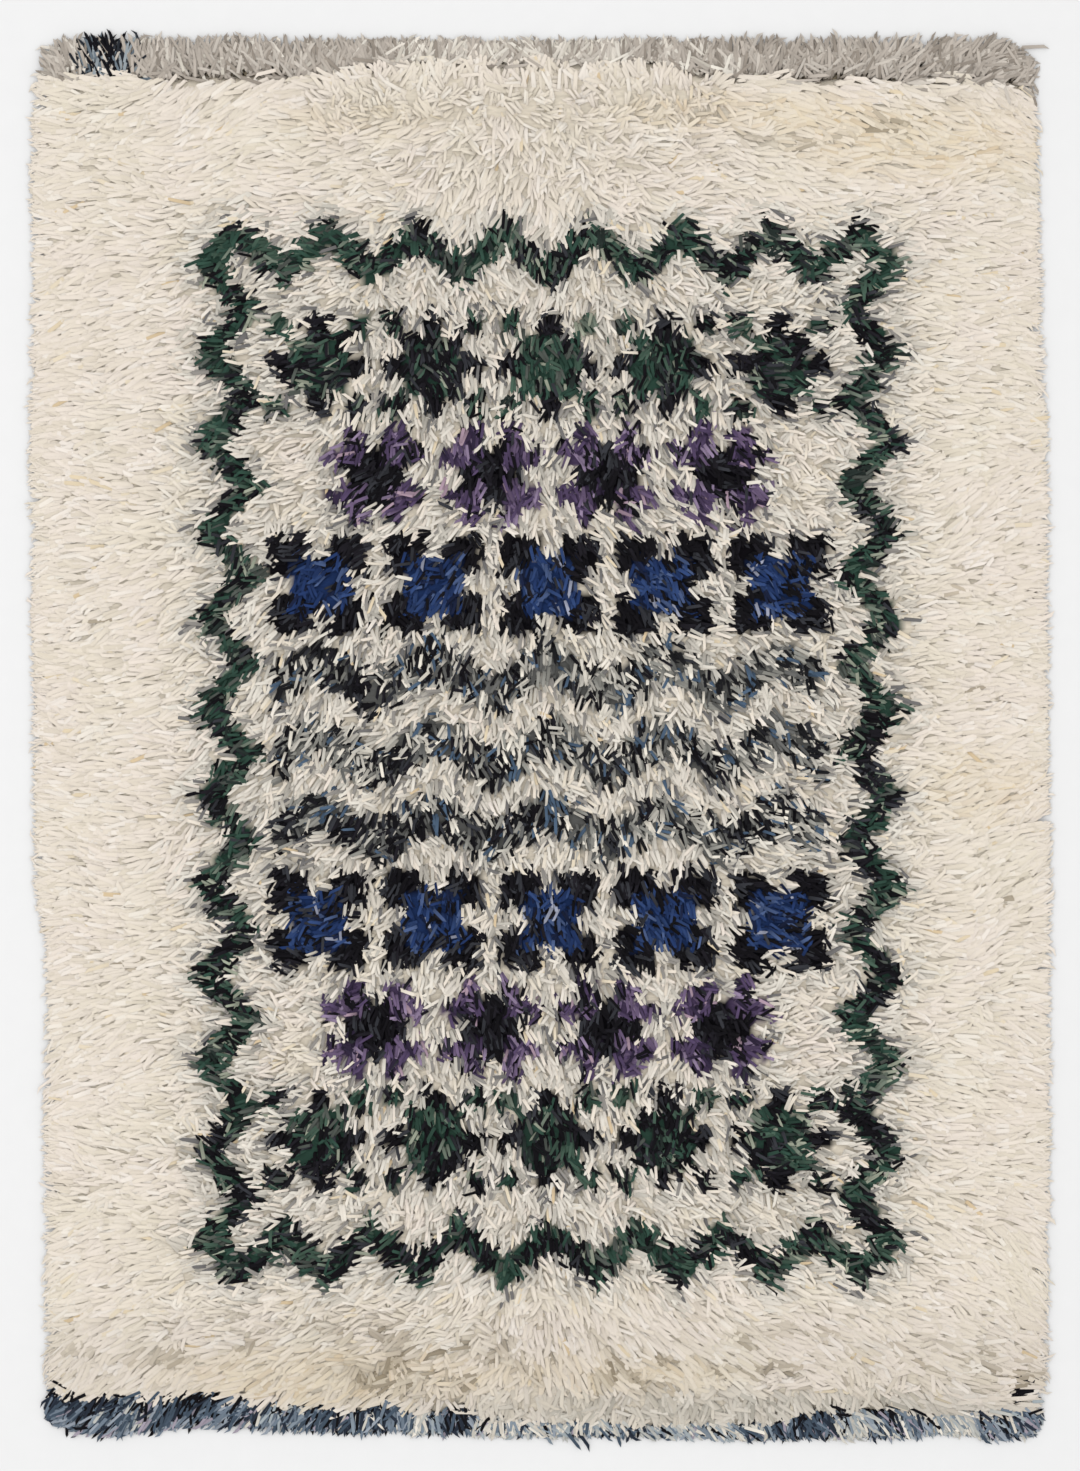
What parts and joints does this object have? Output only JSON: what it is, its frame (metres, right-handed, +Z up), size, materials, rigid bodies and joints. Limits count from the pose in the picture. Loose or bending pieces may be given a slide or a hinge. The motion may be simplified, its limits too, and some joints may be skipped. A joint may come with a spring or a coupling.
{
  "type": "rya rug",
  "caption": "Rectangular long-pile wool rug lying flat: a lumpy knotted field with locks over its long sides, and a narrow shaggy band at each end.",
  "frame": {"origin": "middle of the rug's footprint, on the surface that it lies on", "axes": "+Z up through the pile, +Y along the rug towards its taupe end, +X across it"},
  "size_m": [1.4308, 1.9556, 0.03],
  "materials": {
    "cream_pile": "long cream wool pile with dyed green, blue, purple and black knots",
    "taupe_pile": "long taupe-grey wool pile",
    "blue_grey_pile": "long wool pile in blue-grey, slate and near-black yarns",
    "ground_weave": "undyed wool ground cloth in a weft-faced rib"
  },
  "bodies": {
    "root": {"knotted_field": "cream_pile", "head_band": "taupe_pile", "foot_band": "blue_grey_pile"}
  },
  "joints": []
}
